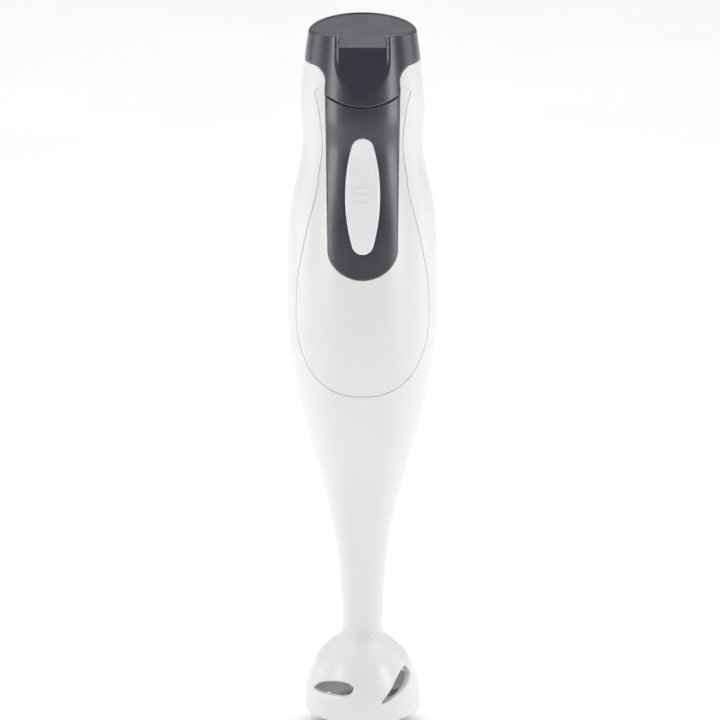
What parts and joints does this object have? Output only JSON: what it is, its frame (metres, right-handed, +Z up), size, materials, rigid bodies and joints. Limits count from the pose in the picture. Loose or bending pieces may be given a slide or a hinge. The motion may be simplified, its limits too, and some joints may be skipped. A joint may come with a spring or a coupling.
{
  "type": "immersion blender",
  "caption": "Hand-held stick blender: waisted white handle with a front push button and dark cap, a tapering fixed leg, and a domed slotted blade guard.",
  "frame": {"origin": "middle of the plane that the guard's two feet stand on", "axes": "+Z up along the drive shaft, -Y towards the button, +X to the right as seen from the front"},
  "size_m": [0.0702, 0.0704, 0.3424],
  "materials": {
    "white_plastic": "satin moulded",
    "dark_grey_plastic": "fine matt moulded",
    "button_plastic": "satin moulded",
    "black_rubber": "matt",
    "bright_steel": "ground",
    "zinc_steel": "zinc plated",
    "magnet": "sintered",
    "iron_core": "stacked laminations",
    "copper": "enamelled wire",
    "bronze": "sintered bronze",
    "brass": "stamped",
    "inner_plastic": "moulded",
    "circuit_green": "solder mask",
    "black_plastic": "moulded",
    "amber_plastic": "moulded",
    "phenolic": "moulded",
    "red_lead": "cable sheath",
    "blue_lead": "cable sheath"
  },
  "bodies": {
    "root": {"main_housing": "white_plastic", "front_cover": "white_plastic", "control_panel": "dark_grey_plastic", "top_cap": "dark_grey_plastic", "bell_guard": "white_plastic", "inlet_grommet": "black_rubber", "switch_body": "black_plastic", "circuit_board": "circuit_green", "rectifier_diodes": "black_plastic", "suppression_capacitor": "amber_plastic", "interference_chokes": "copper", "mains_terminal": "inner_plastic", "board_screws": "zinc_steel", "cover_screws": "zinc_steel", "motor_leads": "red_lead", "switch_leads": "blue_lead", "motor_can": "zinc_steel", "motor_magnets": "magnet", "motor_end_cap": "phenolic", "brush_holders": "brass", "carbon_brushes": "black_plastic", "brush_springs": "bright_steel", "upper_motor_bearing": "bronze", "lower_motor_bearing": "bronze", "motor_mount": "inner_plastic", "motor_screws": "zinc_steel", "motor_damper": "black_rubber", "motor_cradle": "inner_plastic", "upper_shaft_bush": "bronze", "lower_shaft_bush": "bronze", "shaft_seal": "black_rubber", "seal_retainer": "white_plastic", "button_return_spring": "bright_steel"},
    "button": {"power_button": "button_plastic"},
    "plunger": {"switch_plunger": "red_lead"},
    "rotor": {"motor_shaft": "bright_steel", "armature_core": "iron_core", "armature_windings": "copper", "commutator": "copper", "cooling_fan": "inner_plastic", "shaft_coupling": "inner_plastic", "drive_shaft": "bright_steel", "blade_hub": "white_plastic", "blade": "bright_steel", "blade_nut": "bright_steel"}
  },
  "joints": [
    {"name": "button_press", "type": "slide", "parent": "root", "child": "button", "axis": [0, 1, 0], "range_m": [0, 0.002], "stiffness_N_per_m": 1500, "springref_m": -0.001, "deforming": ["button_return_spring"]},
    {"name": "plunger_press", "type": "slide", "parent": "root", "child": "plunger", "axis": [0, 1, 0], "range_m": [0, 0.002]},
    {"name": "rotor_spin", "type": "hinge", "parent": "root", "child": "rotor", "pos_m": [0, 0, 0.12], "axis": [0, 0, 1], "continuous": true}
  ],
  "couplings": [
    {"joint": "plunger_press", "follows": "button_press", "ratio": 1}
  ]
}
